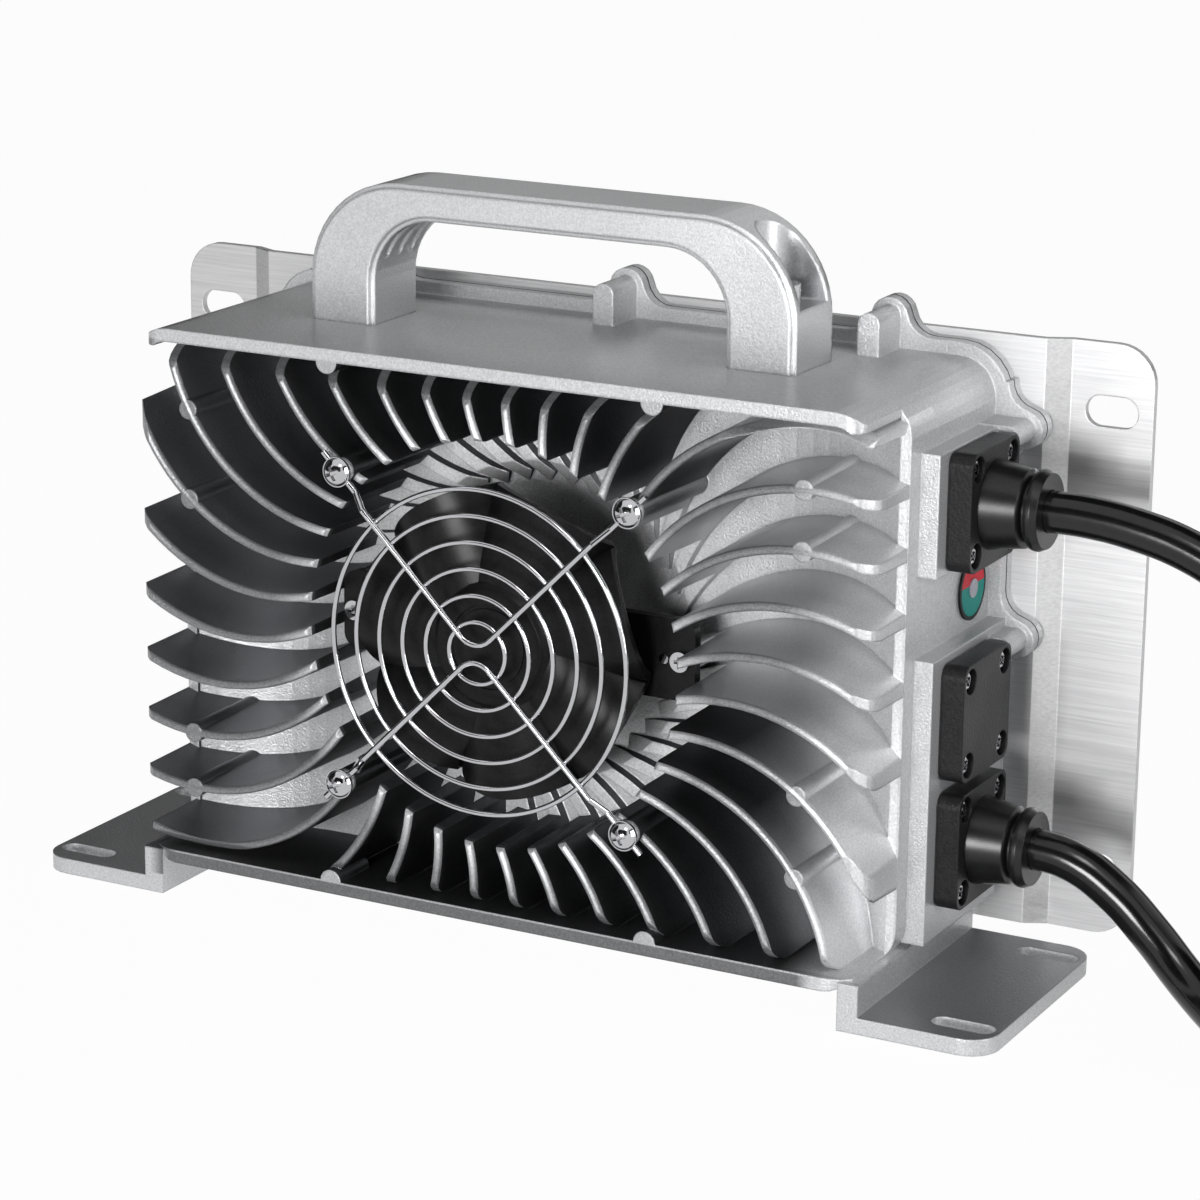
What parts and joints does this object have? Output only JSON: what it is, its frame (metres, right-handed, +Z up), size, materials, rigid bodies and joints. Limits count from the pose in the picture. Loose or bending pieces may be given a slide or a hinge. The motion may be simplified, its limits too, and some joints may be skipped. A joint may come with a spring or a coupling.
{
  "type": "battery charger",
  "caption": "Lithium battery charger in a finned die-cast housing with a guarded axial fan, carrying handle, slotted feet, rear mounting bracket and two cables.",
  "frame": {"origin": "on the floor, in the middle of the four slots of the feet", "axes": "+X to the right seen from the front, +Y to the back, +Z up"},
  "size_m": [0.5603, 0.1198, 0.192],
  "materials": {
    "casting": "satin silver paint with a fine grain on die-cast aluminium",
    "handle_casting": "bead-blasted aluminium",
    "brushed_steel": "brushed stainless steel",
    "screw_steel": "zinc-plated steel",
    "chrome": "bright nickel or chrome plate",
    "fan_plastic": "black moulded plastic",
    "plate_plastic": "textured black plastic",
    "rubber": "matt black rubber",
    "cable_black": "smooth black cable sheath",
    "indicator": "printed disc in red and green with a black rim",
    "lens": "milky lens",
    "board": "green circuit board",
    "copper": "enamelled copper",
    "brass": "nickel-plated brass",
    "ferrite": "dull dark ferrite",
    "toroid": "painted powder core",
    "winding_tape": "yellow polyester tape",
    "capacitor": "dark sleeve",
    "component_plastic": "black epoxy",
    "pad_grey": "grey silicone pad",
    "relay_blue": "blue case",
    "ceramic": "pale ceramic",
    "terminal_green": "green moulded plastic",
    "connector_grey": "grey moulded plastic"
  },
  "bodies": {
    "base": {"housing": "casting", "rear_cover": "casting", "cover_gasket": "rubber", "cover_screws": "screw_steel", "mount_bracket": "brushed_steel", "bracket_screws": "screw_steel", "handle": "handle_casting", "handle_screws": "screw_steel", "fan_frame": "fan_plastic", "fan_stator": "copper", "fan_bearings": "screw_steel", "fan_screws": "chrome", "fan_guard": "chrome", "guard_screws": "chrome", "upper_gland_plate": "plate_plastic", "lower_gland_plate": "plate_plastic", "blank_plate": "plate_plastic", "plate_seals": "rubber", "plate_screws": "chrome", "upper_gland": "rubber", "lower_gland": "rubber", "indicator_ring": "indicator", "indicator_lens": "lens", "circuit_board": "board", "board_screws": "screw_steel", "transformer_core": "ferrite", "transformer_winding": "winding_tape", "inductor_cores": "toroid", "inductor_windings": "copper", "capacitors": "capacitor", "power_transistors": "component_plastic", "thermal_pads": "pad_grey", "clamp_bar": "brushed_steel", "clamp_screws": "screw_steel", "relay": "relay_blue", "fuse_holder": "ceramic", "indicator_led": "lens", "terminal_block": "terminal_green", "mains_cable": "cable_black", "mains_coil": "cable_black", "mains_tail": "cable_black", "mains_plug": "rubber", "mains_plug_pins": "brass", "output_cable": "cable_black", "output_coil": "cable_black", "output_tail": "cable_black", "output_connector": "connector_grey", "output_contacts": "copper"},
    "rotor": {"fan_shaft": "screw_steel", "fan_rotor": "fan_plastic"}
  },
  "joints": [
    {"name": "fan_spin", "type": "hinge", "parent": "base", "child": "rotor", "pos_m": [0, -0.024, 0.0826], "axis": [0, -1, 0], "continuous": true}
  ]
}
